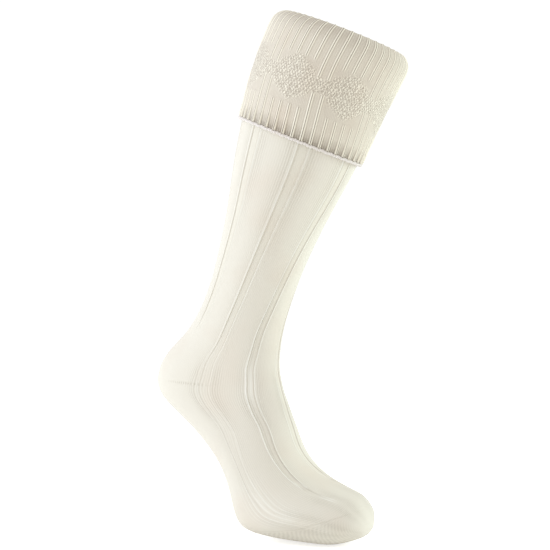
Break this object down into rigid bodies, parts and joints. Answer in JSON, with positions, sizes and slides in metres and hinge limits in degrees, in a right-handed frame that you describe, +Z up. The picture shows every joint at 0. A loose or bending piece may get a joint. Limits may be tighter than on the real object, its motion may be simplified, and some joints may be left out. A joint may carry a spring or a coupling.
{
  "type": "kilt hose sock",
  "caption": "Knee-high knitted sock with a ribbed turned-over top in a diamond and moss-stitch pattern, channelled leg and instep, pocket heel and rounded toe.",
  "frame": {"origin": "centre of the mouth at the crest of the turned-over top, where the leg goes in", "axes": "+Z up as the sock is worn with the heel raised, +X forwards to the toes, +Y to the inner side of the leg"},
  "size_m": [0.2752, 0.142, 0.5329],
  "materials": {
    "cuff_wool": "undyed cream wool in narrow ribs and moss-stitch diamonds, matt",
    "edge_wool": "cream wool, rounded cast-off edge, matt",
    "leg_wool": "undyed cream wool in fine stocking stitch, matt with a soft fuzz"
  },
  "bodies": {
    "root": {"cuff": "cuff_wool", "cuff_edge": "edge_wool", "leg": "leg_wool", "heel": "leg_wool", "foot": "leg_wool", "toe": "leg_wool"}
  },
  "joints": []
}
